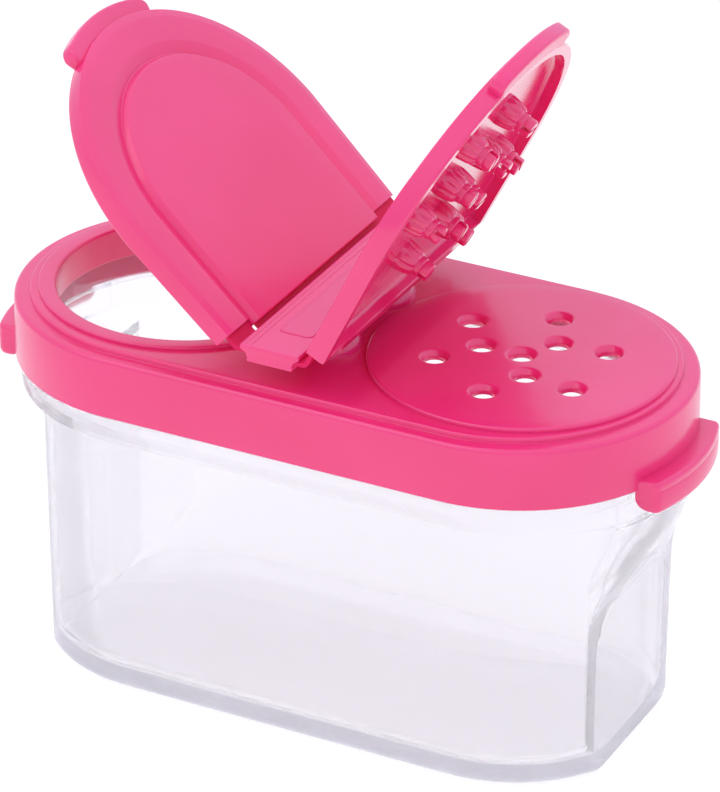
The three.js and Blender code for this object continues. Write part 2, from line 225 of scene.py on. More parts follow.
# ---- outlines and profiles ----
def rounded(corners, closed=False, steps=QUARTER_STEPS):
    """Polyline through (u, v, radius) corners, each corner replaced by an arc of that radius."""
    points = []
    count = len(corners)
    for i, (u, v, radius) in enumerate(corners):
        here = np.array((u, v), float)
        at_end = not closed and i in (0, count - 1)
        if radius <= 0 or at_end:
            points.append(here)
            continue
        to_last = np.array(corners[i - 1][:2], float) - here
        to_next = np.array(corners[(i + 1) % count][:2], float) - here
        room = FILLET_SHARE * min(np.linalg.norm(to_last), np.linalg.norm(to_next))
        to_last = to_last / np.linalg.norm(to_last)
        to_next = to_next / np.linalg.norm(to_next)
        half = math.acos(max(-1.0, min(1.0, float(to_last @ to_next)))) / 2
        if math.pi / 2 - half < NEARLY_STRAIGHT:
            points.append(here)
            continue
        reach = min(radius / math.tan(half), room)
        radius = reach * math.tan(half)
        middle = to_last + to_next
        centre = here + middle / np.linalg.norm(middle) * radius / math.sin(half)
        start = here + to_last * reach - centre
        end = here + to_next * reach - centre
        first = math.atan2(start[1], start[0])
        sweep = math.atan2(start[0] * end[1] - start[1] * end[0], float(start @ end))
        parts = max(2, math.ceil(abs(sweep) / (math.pi / 2) * steps - 0.01))
        for k in range(parts + 1):
            a = first + sweep * k / parts
            points.append(centre + radius * np.array((math.cos(a), math.sin(a))))
    return np.array(points)


def stadium(span, radius, z, centre_x=0.0):
    """Two half circles, span to each side of the centre, and the straight sides between them."""
    a = np.linspace(-math.pi / 2, math.pi / 2, ROUND_STEPS + 1)
    right = np.stack([centre_x + span + radius * np.cos(a), radius * np.sin(a)], 1)
    left = np.stack([centre_x - span - radius * np.cos(a), -radius * np.sin(a)], 1)
    flat = np.concatenate([right, left])
    return np.column_stack([flat, np.full(len(flat), z)])


def circle(x, y, radius, z, steps=ROUND_STEPS):
    a = np.linspace(0, 2 * math.pi, steps, endpoint=False)
    return np.stack([x + radius * np.cos(a), y + radius * np.sin(a), np.full(steps, z)], 1)


class Skin:
    """Points in millimetres and faces of one piece."""

    def __init__(self):
        self.points = []
        self.faces = []

    def row(self, points):
        first = len(self.points)
        self.points.extend(tuple(float(c) for c in p) for p in points)
        return list(range(first, len(self.points)))

    def band(self, a, b, closed=True):
        count = len(a)
        for i in range(count if closed else count - 1):
            j = (i + 1) % count
            self.faces.append((a[i], a[j], b[j], b[i]))

    def loft(self, rows, closed=True, wrap=False):
        made = [self.row(r) for r in rows]
        for a, b in zip(made, made[1:]):
            self.band(a, b, closed)
        if wrap:
            self.band(made[-1], made[0], closed)
        return made

    def fill(self, *loops):
        """Covers a flat region: the first loop is its border, the others are holes."""
        order = [i for loop in loops for i in loop]
        shape = [[Vector(self.points[i]) for i in loop] for loop in loops]
        for tri in tessellate_polygon(shape):
            self.faces.append(tuple(order[k] for k in tri))

    def placed(self, move):
        self.points = [tuple(p) for p in move(np.array(self.points))]
        return self


def closed_loft(rows):
    """Rows joined by bands, with the first and the last row filled."""
    skin = Skin()
    made = skin.loft(rows)
    skin.fill(made[0])
    skin.fill(made[-1])
    return skin


def joined(*skins):
    whole = Skin()
    for skin in skins:
        first = len(whole.points)
        whole.points += skin.points
        whole.faces += [tuple(i + first for i in face) for face in skin.faces]
    return whole


def shade(bm, sharp_deg):
    """Shades all faces smooth, with the edges that turn more than the limit left sharp."""
    for face in bm.faces:
        face.smooth = True
    limit = math.radians(sharp_deg)
    for edge in bm.edges:
        edge.smooth = len(edge.link_faces) == 2 and edge.calc_face_angle(0.0) < limit


def mesh_of(name, skin):
    bm = bmesh.new()
    verts = [bm.verts.new(Vector(p) * MM) for p in skin.points]
    for face in skin.faces:
        corners = [verts[i] for i in dict.fromkeys(face)]
        if len(corners) > 2 and not bm.faces.get(corners):
            bm.faces.new(corners)
    bmesh.ops.remove_doubles(bm, verts=bm.verts, dist=WELD)
    bmesh.ops.recalc_face_normals(bm, faces=bm.faces)
    shade(bm, SHARP_DEG)
    mesh = bpy.data.meshes.new(name)
    bm.to_mesh(mesh)
    bm.free()
    return mesh


def new_object(name, data, material=None):
    obj = bpy.data.objects.new(name, data)
    bpy.context.scene.collection.objects.link(obj)
    if material is not None:
        data.materials.clear()
        data.materials.append(material)
    return obj


def piece(name, shape, material, body, nodes):
    """One finished piece, from a skin or a mesh: rides on its body and stands for its CAD nodes."""
    mesh = shape if isinstance(shape, bpy.types.Mesh) else mesh_of(name, shape)
    obj = new_object(name, mesh, material)
    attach(obj, body)
    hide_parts(*nodes)


# ---- materials ----
class Nodes:
    """Short hand for wiring one material's nodes."""

    def __init__(self, name):
        self.material = bpy.data.materials.new(name)
        self.material.use_nodes = True
        self.tree = self.material.node_tree
        self.tree.nodes.clear()
        self.place = self.add("ShaderNodeTexCoord").outputs["Object"]

    def add(self, kind, settings=None, **inputs):
        node = self.tree.nodes.new(kind)
        for key, value in (settings or {}).items():
            setattr(node, key, value)
        for key, value in inputs.items():
            socket = node.inputs[key.replace("_", " ")]
            if isinstance(value, bpy.types.NodeSocket):
                self.tree.links.new(value, socket)
            else:
                socket.default_value = value
        return node

    def noise(self, scale, detail=3.0, rough=0.5):
        node = self.add("ShaderNodeTexNoise", Vector=self.place, Scale=scale, Detail=detail)
        node.inputs["Roughness"].default_value = rough
        return node.outputs["Fac"]

    def span(self, value, low, high, to_low, to_high):
        node = self.add("ShaderNodeMapRange")
        self.tree.links.new(value, node.inputs["Value"])
        limits = {"From Min": low, "From Max": high, "To Min": to_low, "To Max": to_high}
        for key, number in limits.items():
            node.inputs[key].default_value = number
        return node.outputs["Result"]

    def mix(self, factor, a, b):
        node = self.add("ShaderNodeMix", {"data_type": "RGBA"})
        sockets = [s for s in node.inputs if s.type == "RGBA"]
        self.tree.links.new(factor, node.inputs["Factor"])
        for socket, value in zip(sockets, (a, b)):
            if isinstance(value, bpy.types.NodeSocket):
                self.tree.links.new(value, socket)
            else:
                socket.default_value = value
        return next(s for s in node.outputs if s.type == "RGBA")

    def bump(self, height, strength, distance, normal=None):
        node = self.add("ShaderNodeBump", Height=height, Strength=strength, Distance=distance)
        if normal is not None:
            self.tree.links.new(normal, node.inputs["Normal"])
        return node.outputs["Normal"]


PINK_TONES = ((0.87, 0.021, 0.165, 1), (0.91, 0.027, 0.185, 1))
# darker pink for the hinge webs: painted shade of the hinge crease they lie in
WEB_SHADE_TONES = ((0.68, 0.008, 0.085, 1), (0.76, 0.010, 0.100, 1))
PINK_SPECK = (0.95, 0.45, 0.55, 1)
CLEAR_TONES = ((0.966, 0.951, 0.973, 1), (0.975, 0.962, 0.981, 1))


def pink_plastic(name, roughness, peel, coat, tones=PINK_TONES, ior=1.56):
    """Injection-moulded pink: faint flow tone, rare pale specks, fine moulded texture."""
    n = Nodes(name)
    flow = n.span(n.noise(55.0, 2.0), 0.35, 0.65, 0.0, 1.0)
    tone = n.mix(flow, *tones)
    speck = n.span(n.noise(3800.0, 1.0), 0.80, 0.83, 0.0, 0.35)
    colour = n.mix(speck, tone, PINK_SPECK)
    rough = n.span(n.noise(160.0, 3.0), 0.1, 0.9, roughness * 0.84, roughness * 1.16)
    coarse = n.bump(n.noise(240.0, 2.0), 0.25, peel * 0.00022)
    fine = n.bump(n.noise(2600.0, 2.0), 0.30, peel * 0.00003, coarse)
    shader = n.add("ShaderNodeBsdfPrincipled", Base_Color=colour, Roughness=rough, IOR=ior,
                   Normal=fine, Coat_Normal=fine, Coat_Weight=coat, Coat_Roughness=0.16,
                   Subsurface_Weight=0.12, Subsurface_Radius=(1.0, 0.18, 0.3),
                   Subsurface_Scale=0.0012)
    n.add("ShaderNodeOutputMaterial", Surface=shader.outputs["BSDF"])
    return n.material


def clear_plastic(name):
    """Clear moulded plastic: lilac where it is thick, slightly milky, faint ripple, fine scuffs."""
    n = Nodes(name)
    cloud = n.span(n.noise(35.0, 2.0), 0.35, 0.65, 0.0, 1.0)
    colour = n.mix(cloud, *CLEAR_TONES)
    rough = n.span(n.noise(420.0, 5.0, 0.6), 0.35, 0.75, 0.015, 0.05)
    ripple = n.bump(n.noise(45.0, 1.0), 0.20, 0.00035)
    fine = n.bump(n.noise(900.0, 2.0), 0.10, 0.00002, ripple)
    shader = n.add("ShaderNodeBsdfPrincipled", Base_Color=colour, Roughness=rough, Normal=fine,
                   IOR=1.22, Transmission_Weight=1.0, Alpha=0.70)
    body = n.add("ShaderNodeVolumeAbsorption", Color=(0.78, 0.70, 0.88, 1), Density=9.0)
    haze = n.add("ShaderNodeVolumeScatter", Color=(0.97, 0.94, 0.985, 1), Density=32.0)
    both = n.add("ShaderNodeAddShader")
    n.tree.links.new(body.outputs["Volume"], both.inputs[0])
    n.tree.links.new(haze.outputs["Volume"], both.inputs[1])
    n.add("ShaderNodeOutputMaterial", Surface=shader.outputs["BSDF"], Volume=both.outputs["Shader"])
    return n.material


satin = pink_plastic("pink_satin", roughness=0.35, peel=0.6, coat=0.6)
gloss = pink_plastic("pink_gloss", roughness=0.16, peel=0.3, coat=0.7)
# hinge webs: darker tones, a low IOR and no coat give painted shade of the hinge crease
web_shade = pink_plastic("pink_web_painted_shade", roughness=0.45, peel=0.6, coat=0.0, tones=WEB_SHADE_TONES, ior=1.25)
clear = clear_plastic("clear_tub")


# ---- cap shell ----
def cap_shell():
    """Deck, ledge and skirt, with round openings for the pour ring and the disc."""
    skin = Skin()
    outer = rounded([
        (DECK_R - 1.0, DECK_Z, 0),
        (DECK_R, DECK_Z, 0.28),
        (DECK_R + 0.04, LEDGE_Z, 0.15),
        (SKIRT_R, LEDGE_Z, 0.75),
        (SKIRT_R_LOW, SKIRT_BOTTOM, 0.22),
        (SKIRT_R - CAP_WALL, SKIRT_BOTTOM, 0.25),
        (SKIRT_R - CAP_WALL, LEDGE_Z - CAP_WALL, 0.6),
        (SKIRT_R - CAP_WALL - 1.4, LEDGE_Z - CAP_WALL, 0),
    ])
    on_deck = [r < DECK_R + 0.1 and z > LEDGE_Z - 0.01 for r, z in outer]
    spans = [DECK_SPAN if deck else SKIRT_SPAN for deck in on_deck]
    rows = skin.loft([stadium(span, r, z) for span, (r, z) in zip(spans, outer)])
    walls = []
    for x, radius in ((PORT_X, COLLAR_R + 0.05), (DISC_X, DISC_R - 1.0)):
        levels = ((radius, DECK_Z), (radius, LEDGE_Z - CAP_WALL))
        walls.append(skin.loft([circle(x, 0, r, z) for r, z in levels]))
    skin.fill(rows[0], walls[0][0], walls[1][0])
    skin.fill(rows[-1], walls[0][1], walls[1][1])
    return skin


def pour_ring():
    """Raised rim round the pour opening and the collar that hangs below it."""
    profile = rounded([
        (PORT_R, PORT_BOTTOM, 0.3),
        (COLLAR_R, PORT_BOTTOM, 0.3),
        (COLLAR_R, DECK_Z - SEAT, 0.05),
        (PORT_OUT, DECK_Z - SEAT, 0.02),
        (PORT_OUT, PORT_TOP, 0.28),
        (PORT_R, PORT_TOP, 0.45),
    ], closed=True)
    skin = Skin()
    skin.loft([circle(PORT_X, 0, r, z) for r, z in profile], wrap=True)
    return skin


def hole_spots():
    """The ten holes from the disc's centre: one in the middle and two rings."""
    spots = [(0.0, 0.0)]
    for radius, count, first in HOLE_RINGS:
        for k in range(count):
            a = math.radians(first + k * 360 / count)
            spots.append((radius * math.cos(a), radius * math.sin(a)))
    return spots


def sifter_disc():
    """Raised disc with ten countersunk holes."""
    skin = Skin()
    rim = rounded([
        (DISC_R - 2.2, DISC_Z, 0),
        (DISC_R, DISC_Z, 0.34),
        (DISC_R, DECK_Z - SEAT, 0),
        (DISC_R - 1.1, DECK_Z - SEAT, 0.05),
        (DISC_R - 1.1, DISC_Z - DISC_THICK, 0.1),
        (DISC_R - 2.2, DISC_Z - DISC_THICK, 0),
    ])
    rows = skin.loft([circle(DISC_X, 0, r, z) for r, z in rim])
    hole = rounded([
        (HOLE_MOUTH + 0.4, DISC_Z, 0),
        (HOLE_MOUTH - 0.1, DISC_Z, 0.5),
        (HOLE_BORE, DISC_Z - 0.75, 0.25),
        (HOLE_BORE, DISC_Z - DISC_THICK, 0),
    ])
    tops = []
    ends = []
    for x, y in hole_spots():
        bores = skin.loft([circle(DISC_X + x, y, r, z, HOLE_STEPS) for r, z in hole])
        tops.append(bores[0])
        ends.append(bores[-1])
    skin.fill(rows[0], *tops)
    skin.fill(rows[-1], *ends)
    return skin


# ---- bars bent round an arc: pull tabs, thumb tabs, seal ring ----
def ease_stations(reach, steps):
    """Distances in from a rounded end, closest together where it curves most."""
    return [reach * (1 - math.cos(math.pi / 2 * k / steps)) for k in range(steps + 1)]


def end_inset(radius, along):
    """How far an end rounded with this radius has drawn in, this far along from its tip."""
    return radius - math.sqrt(radius ** 2 - max(0.0, radius - along) ** 2)


def arc_bar(r0, r1, z0, z1, half_angle, corner, end_round, nose=0.0, steps=48):
    """A rounded rectangle swept about the origin, centred on +X, with rounded ends.

    The nose rounds the ends in plan, on the outer side only.
    """
    mid = (r0 + r1) / 2

    def section(angle):
        along = min(angle, 2 * half_angle - angle) * mid
        inset = end_inset(end_round, along)
        cut = end_inset(nose, along) if nose else 0.0
        a, b = r0 + inset, r1 - max(inset, cut)
        low, high = z0 + inset, z1 - inset
        c = max(corner - inset, 0.02)
        return rounded([(a, low, c), (b, low, c), (b, high, c), (a, high, c)], closed=True)

    ends = [along / mid for along in ease_stations(max(end_round, nose), 10)]
    plain = np.linspace(ends[-1], 2 * half_angle - ends[-1], steps + 1)[1:-1]
    stations = [*ends, *plain, *[2 * half_angle - a for a in reversed(ends)]]
    rows = []
    for angle in stations:
        a = angle - half_angle
        rows.append([(r * math.cos(a), r * math.sin(a), z) for r, z in section(angle)])
    return closed_loft(rows)


def pull_tab(side):
    """Thick lip on the skirt's end, with a rounded foot and a fine seam near its top."""
    low, high = box_mm("pull_tab_right")
    half = high[1]
    r_out = high[0] - SKIRT_SPAN
    r_in = SKIRT_R - 0.25
    ease = 0.75
    seam = high[2] - 1.25

    def section(y):
        inset = end_inset(ease, half - abs(y))
        a = SKIRT_SPAN + math.sqrt(r_in ** 2 - y ** 2)
        b = SKIRT_SPAN + math.sqrt(r_out ** 2 - y ** 2) - inset
        z0, z1 = low[2] + inset, high[2] - inset * 0.6
        corners = [(a, z0, 1.7), (b, z0, 0.8)]
        corners += [(b - dip, seam + dz, 0) for dz, dip in ((-0.1, 0.0), (0.0, 0.06), (0.1, 0.0))]
        corners += [(b, z1, 0.85), (a, z1, 0.02)]
        return [(x, y, z) for x, z in rounded(corners, closed=True)]

    ends = [half - along for along in ease_stations(ease, 8)]
    plain = np.linspace(-ends[-1], ends[-1], 42)[1:-1]
    stations = [*[-y for y in ends], *plain, *reversed(ends)]
    bar = closed_loft([section(y) for y in stations])
    return bar.placed(lambda p: p * np.array((side, side, 1.0)))


# ---- posts and strip ----
def turned_solid(profile, x, y, steps=64):
    """A solid turned from an open profile, with flat faces at its first and last points."""
    return closed_loft([circle(x, y, r, z, steps) for r, z in profile])


def lid_post(y):
    """Low dome with a neck that carries the lid strip."""
    foot = DECK_Z - 0.05
    dome = []
    for t in np.linspace(0.0, math.acos(POST_NECK_R / POST_R), 14):
        dome.append((POST_R * math.cos(t), foot + POST_DOME * math.sin(t)))
    neck = rounded([(*dome[-1], 0), (POST_NECK_R, POST_TOP, 0.2), (0.6, POST_TOP, 0)])
    return turned_solid([*dome[:-1], *neck], 0, y)


def prism_y(section, y0, y1, end_round=0.25):
    """A section in X and Z carried along Y, with its two ends eased over."""
    centre = section.mean(0)
    stations = []
    for k in range(4):
        turn = math.pi / 2 * k / 3
        stations.append((y0 + end_round * (1 - math.cos(turn)), end_round * (1 - math.sin(turn))))
    stations += [(y0 + y1 - y, inset) for y, inset in reversed(stations)]
    rows = []
    for y, inset in stations:
        out = section - centre
        size = np.maximum(np.linalg.norm(out, axis=1, keepdims=True), 1e-6)
        shrunk = centre + out * (1 - inset / np.maximum(size, inset + 0.3))
        rows.append([(x, y, z) for x, z in shrunk])
    return closed_loft(rows)


def hinge_strip():
    """Strip between the flaps: undercut sides, two fine lines and a raised pad."""
    half = strip_high[0]
    top = LID_TOP
    side = [(half, top, 0.22), (half, top - 0.62, 0.12), (half - 0.75, top - 1.05, 0.8),
            (half - 1.05, top - 1.75, 0.4), (half - 0.9, strip_low[2], 0.3)]
    mirrored = [(-x, z, r) for x, z, r in reversed(side)]
    lines = []
    for x in (-half + line for line in STRIP_LINES):
        lines += [(x, top, 0), (x + STRIP_LINE_HALF, top - STRIP_LINE_DEPTH, 0),
                  (x + 2 * STRIP_LINE_HALF, top, 0)]
    body = prism_y(rounded(side + mirrored + lines, closed=True), -LID_HALF_W, LID_HALF_W)
    pad = []
    for inset, z in rounded([
            (0.0, top - 0.3, 0), (0.0, top + PAD_RISE, 0.12), (PAD_EDGE, top + PAD_RISE, 0)]):
        x0, x1 = PAD_LOW_X + inset, PAD_HIGH_X - inset
        y = PAD_HALF_Y - inset
        corners = [(u, v, PAD_CORNER) for u, v in ((x0, -y), (x1, -y), (x1, y), (x0, y))]
        pad.append([(u, v, z) for u, v in rounded(corners, closed=True)])
    return joined(body, closed_loft(pad))


# ---- flaps ----
# A flap is worked out closed: s along the flap from its hinge axis, y across, h above the axis.
def swing(side, degrees):
    """Carries (s, y, h) of a closed flap to its place at rest; side -1 is the pour flap."""
    c, s = math.cos(math.radians(degrees)), math.sin(math.radians(degrees))

    def move(p):
        out = np.empty_like(p)
        out[:, 0] = side * (HINGE_X + p[:, 0] * c - p[:, 2] * s)
        out[:, 1] = side * p[:, 1]
        out[:, 2] = HINGE_Z + p[:, 0] * s + p[:, 2] * c
        return out

    return move


def round_end(inset):
    """Half circle at a flap's end, where its outline is a little wider than at its hinge."""
    a = np.linspace(-math.pi / 2, math.pi / 2, ROUND_STEPS + 1)
    radius = LID_HALF_W - inset + (LID_END_R - LID_HALF_W) * max(0.0, 1 - inset / END_FADE)
    return np.stack([LID_ARC + radius * np.cos(a), radius * np.sin(a)], 1)


def u_row(inset, h, edge_drop):
    """Row from the hinge edge, along one side, round the end and back.

    The edge_drop pairs are the distance in from the hinge edge and the fall there.
    """
    half = LID_HALF_W - inset
    leg = [(FLAP_EDGE + s, -half) for s, _ in edge_drop]
    back = [(FLAP_EDGE + s, half) for s, _ in reversed(edge_drop)]
    flat = np.concatenate([leg, round_end(inset), back])
    height = np.full(len(flat), h)
    drops = np.array([d for _, d in edge_drop])
    height[:len(drops)] -= drops
    height[-len(drops):] -= drops[::-1]
    return np.column_stack([flat, height])


def closed_d(inset, h):
    """D-shaped row with a straight side along the hinge."""
    half = LID_HALF_W - inset
    start = FLAP_EDGE + inset
    flat = np.concatenate([[(start, -half)], round_end(inset), [(start, half)]])
    return np.column_stack([flat, np.full(len(flat), h)])


def flap(grooved):
    """A flap's plate and rim, closed: grooved is the pour flap's, with its raised panel."""
    skin = Skin()
    turns = [math.pi / 2 * k / 5 for k in range(6)]
    edge_drop = [(HINGE_EASE * (1 - math.cos(t)), HINGE_EASE * (1 - math.sin(t))) for t in turns]
    bottom = TOP_H - RIM_DEPTH
    valley = TOP_H - GROOVE_DEPTH
    panel = TOP_H + PANEL_RISE
    profile = [
        (0.16, bottom, 0),
        (0.0, bottom + 0.3, 0.3),
        (0.0, TOP_H - 0.30, 0.12),
        (1.15, TOP_H, 0.5),
    ]
    if grooved:
        profile += [
            (4.55, TOP_H, 0.9),
            (5.98, valley + 0.05, 0.05),
            (6.06, valley, 0.04),
            (6.26, valley, 0.04),
            (6.36, valley + 0.20, 0.05),
            (6.80, panel, 0.25),
            (PLATE_INSET, panel + PLATE_CROWN, 0),
        ]
    else:
        profile += [
            (6.3, TOP_H, 0.2),
            (6.5, TOP_H - LINE_DEPTH, 0.15),
            (6.9, TOP_H - LINE_DEPTH, 0.15),
            (7.1, TOP_H, 0.2),
            (PLATE_INSET, TOP_H + PLATE_CROWN, 0),
        ]
    rows = []
    for inset, h in rounded(profile):
        # The rounding of the hinge edge fades out down the rim.
        depth = max(0.0, TOP_H - h)
        share = min(1.0, 1.6 * max(0.0, 1 - depth / (RIM_DEPTH - 0.3)))
        rows.append(u_row(inset, h, [(s, fall * share) for s, fall in edge_drop]))
    made = skin.loft(rows, closed=False)
    inner = made[-1]
    count = len(edge_drop)
    for k in range(count - 1):
        skin.faces.append((inner[k], inner[k + 1], inner[-2 - k], inner[-1 - k]))
    skin.fill(inner[count - 1:len(inner) - count + 1])
    skin.fill([r[0] for r in made] + [r[-1] for r in reversed(made)])
    pocket = rounded([
        (RIM_WALL - 0.05, bottom, 0),
        (RIM_WALL, bottom + 0.25, 0.25),
        (RIM_WALL + 0.06, TOP_H - PLATE, 0.6),
        (RIM_WALL + 1.6, TOP_H - PLATE, 0),
    ])
    hollow = skin.loft([closed_d(inset, h) for inset, h in pocket])
    skin.fill(hollow[-1])
    skin.fill(made[0], hollow[0])
    return skin


def flap_mesh(name, grooved, move):
    """The flap with its frame cut back at the two hinge corners, carried to its place."""
    corners = []
    for side in (1, -1):
        y0, y1 = sorted((side * FRAME_IN, side * 30))
        outline = [(-1.0, y0), (FRAME_EDGE, y0), (FRAME_EDGE, y1), (-1.0, y1)]
        corners.append(closed_loft([[(s, y, h) for s, y in outline] for h in (-5.0, 1.0)]))
    whole = joined(flap(True), trough()) if grooved else flap(False)
    base, *cutters = [skin.placed(move) for skin in (whole, *corners)]
    return crisp(carve(name, base, cutters), SHARP_DEG)


def trough():
    """Ridge under the plate that follows the groove in its top face."""
    skin = Skin()
    high = TOP_H - PLATE + 0.2
    low = TOP_H - PLATE - TROUGH_DEPTH
    section = rounded([
        (TROUGH_IN, high, 0), (TROUGH_IN, low, 0.3), (TROUGH_OUT, low, 0.3), (TROUGH_OUT, high, 0)])
    start = [(FLAP_EDGE + RIM_WALL - 0.3, 0.0)]
    rows = skin.loft([u_row(LID_HALF_W - half, h, start) for half, h in section],
                     closed=False, wrap=True)
    skin.fill([r[0] for r in rows])
    skin.fill([r[-1] for r in rows])
    return skin


def thumb_tab():
    """Lip on a flap's round end, with its outer corners rounded."""
    outer = LID_END_R + TAB_OVERHANG
    half_angle = math.asin(TAB_HALF_W / outer)
    bar = arc_bar(LID_END_R - 0.5, outer, TOP_H - RIM_DEPTH, TOP_H - 0.8, half_angle,
                  corner=0.45, end_round=0.6, nose=1.9)
    return bar.placed(lambda p: p + np.array((LID_ARC, 0, 0)))


def seal_ring():
    """Ring under the pour flap that goes into the pour opening, left open at the hinge."""
    centre_s = -PORT_X - HINGE_X
    reach = math.acos((SEAL_START - centre_s) * 2 / (SEAL_IN + SEAL_OUT))
    bar = arc_bar(SEAL_IN, SEAL_OUT, SEAL_LOW_Z - HINGE_Z, TOP_H - PLATE - 0.5, reach,
                  corner=0.3, end_round=0.4, steps=110)
    return bar.placed(lambda p: p + np.array((centre_s, 0, 0)))


# ---- plug pins ----
def half_nub(side, low, high):
    """Half of a pin's split tip: a D-shaped prong."""
    start = math.asin(PIN_SLOT_HALF / PIN_NUB_R)
    rows = []
    for inset, z in rounded([(0.0, low, 0), (0.0, high, 0.25), (0.6, high, 0)]):
        r = PIN_NUB_R - inset
        a = np.linspace(start, math.pi - start, NUB_POINTS)
        x = r * np.cos(a)
        y = np.maximum(r * np.sin(a), PIN_SLOT_HALF)
        rows.append(np.stack([x, side * y, np.full(NUB_POINTS, z)], 1))
    return closed_loft(rows)


def fluted_crown():
    """Crown round a pin's foot: rings of radius, height and depth of the flutes."""
    a = np.linspace(0, 2 * math.pi, CROWN_RIBS * 8, endpoint=False)
    wave = 1 - np.abs(np.sin(a * CROWN_RIBS / 2))
    rows = []
    for r, z, flute in ((2.3, 0.05, 0.1), (2.3, -0.3, 0.25), (2.1, -1.5, 0.3), (1.85, -2.3, 0.25),
                        (1.5, -2.6, 0.1), (1.2, -2.65, 0.0)):
        ring = r - flute * wave
        rows.append(np.stack([ring * np.cos(a), ring * np.sin(a), np.full(len(a), z)], 1))
    return closed_loft(rows)


def plug_pin(spot, turn):
    """A pin hanging from the shaker flap's plate; spot is its (s, y)."""
    low = PIN_NUB - PIN_LENGTH
    profile = rounded([(PIN_R, 0.05, 0), (PIN_R, low, 0.22), (0.5, low, 0)])
    shank = turned_solid(profile, 0, 0, HOLE_STEPS)
    tip = [half_nub(side, low + 0.05, -PIN_LENGTH) for side in (1, -1)]
    whole = joined(shank, fluted_crown(), *tip)
    c, s = math.cos(turn), math.sin(turn)

    def move(points):
        out = points.copy()
        out[:, 0] = spot[0] + c * points[:, 0] - s * points[:, 1]
        out[:, 1] = spot[1] + s * points[:, 0] + c * points[:, 1]
        out[:, 2] = TOP_H - PLATE + points[:, 2]
        return out

    return whole.placed(move)


# ---- living hinges ----
def hinge_web(side, degrees):
    """Thin sheet from the strip's edge to the flap's edge, open at one small slot."""
    a = math.radians(degrees)
    c, s = math.cos(a), math.sin(a)
    far = (WEB_REACH * c - WEB_DEEP * s, WEB_REACH * s + WEB_DEEP * c)
    valley = (-WEB_DEEP * math.tan(a / 2), WEB_DEEP)
    line = rounded([(WEB_START, WEB_DEEP, 0), (*valley, 0.6), (*far, 0)])
    along = np.gradient(line, axis=0)
    normal = np.stack([-along[:, 1], along[:, 0]], 1)
    normal *= WEB_HALF_THICK / np.linalg.norm(normal, axis=1, keepdims=True)
    section = np.concatenate([line + normal, (line - normal)[::-1]])
    skins = []
    gap = side * -WEB_GAP_Y
    stops = [-LID_HALF_W + 0.1, gap - WEB_GAP, gap + WEB_GAP, LID_HALF_W - 0.5]
    for y0, y1 in zip(stops[::2], stops[1::2]):
        skins.append(closed_loft([
            [(side * (HINGE_X + x), side * y, HINGE_Z + z) for x, z in section]
            for y in np.linspace(y0, y1, 5)]))
    return joined(*skins)


def web_piece(name, side, degrees, node):
    """One web, bent between the cap and its flap over a short stretch about the hinge axis."""
    # the web's darker, duller pink is painted shade of the hinge crease
    obj = new_object(name, mesh_of(name, hinge_web(side, degrees)), web_shade)
    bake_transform(obj)
    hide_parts(node)


# ---- tub ----
def eased(value, low, high):
    """Smooth step from 0 at low to 1 at high."""
    t = min(1.0, max(0.0, (value - low) / (high - low)))
    return t * t * (3 - 2 * t)


def tub_rows(levels, grow):
    """Stadium rows for (radius, z) levels, easing into the cap's plan at the flange.

    The +X end swells out, and is drawn in over the panel; the -X end is held to its flat face.
    grow is how far the rows lie inside the outer wall.
    """
    rows = []
    for r, z in levels:
        share = min(1.0, max(0.0, (z - FLANGE_Z + 0.2) / 1.0))
        out = FLARE * eased(z, FLARE_LOW - 1.0, FLARE_HIGH + 0.5)
        right = (TUB_X + TUB_SPAN + out) * (1 - share) + CAP_SPAN * share
        left = (TUB_SPAN - TUB_X) * (1 - share) + CAP_SPAN * share
        row = stadium((right + left) / 2, r, z, (right - left) / 2)
        for point in row:
            if point[0] > TUB_SPAN:
                point[0] = scooped(point[0], point[1], z, grow)
            elif point[0] < -TUB_SPAN:
                point[0] = flattened(point[0], z, grow)
        rows.append(row)
    return rows


def scooped(x, y, z, grow):
    """X of the +X wall: held to the panel's plane inside its arch, leaning out from it outside."""
    side = max(0.0, abs(y) - (PANEL_HALF_W - PANEL_CORNER))
    rise = max(0.0, z - (PANEL_TOP - PANEL_CORNER))
    away = max(0.0, math.hypot(side, rise) - PANEL_CORNER - grow * 0.6)
    limit = PANEL_X + (-grow if grow else PANEL_SPARE) + away / PANEL_LEAN
    soft = min(SCOOP_SOFT, PANEL_SPARE + 0.45 * away)
    near = max(0.0, soft - abs(x - limit)) / soft
    return min(x, limit) - near * near * soft / 4


def flattened(x, z, grow):
    """X of the -X wall: held to a flat face from the base to the flange, with soft edges."""
    limit = FLAT_X + grow - FLAT_LEAN * max(0.0, z - FLAT_TOP)
    near = max(0.0, FLAT_SOFT - abs(x - limit)) / FLAT_SOFT
    return max(x, limit) + near * near * FLAT_SOFT / 4


def wall_levels(r_low, r_high):
    """Levels up a nearly straight wall, close together where its end is drawn in."""
    levels = []
    for z in np.linspace(PANEL_TOP - PANEL_CORNER - 3.0, FLANGE_Z - 0.9, WALL_ROWS):
        levels.append((r_low + (r_high - r_low) * z / FLANGE_Z, float(z), 0))
    return levels


def panel_pocket():
    """Cutter for the arched flat panel in the +X end."""
    w, top = PANEL_HALF_W, PANEL_TOP
    corners = [(-w, -6, 0), (w, -6, 0), (w, top, PANEL_CORNER), (-w, top, PANEL_CORNER)]
    outline = rounded(corners, closed=True, steps=24)
    return closed_loft([[(x, y, z) for y, z in outline] for x in (PANEL_X, PANEL_X + 9)])


def finger_room(side):
    """Cutter that thins the flange under one pull tab."""
    a = math.asin(FINGER_HALF_W / FINGER_R)
    turns = np.linspace(-a, a, 41)
    outline = [(CAP_SPAN + FINGER_R * math.cos(t), FINGER_R * math.sin(t)) for t in turns]
    outline += [(CAP_SPAN + FINGER_REACH, y) for y in (FINGER_HALF_W, -FINGER_HALF_W)]
    levels = (FLANGE_Z - 0.7, FLANGE_TOP + 0.6)
    return closed_loft([[(side * x, side * y, z) for x, y in outline] for z in levels])


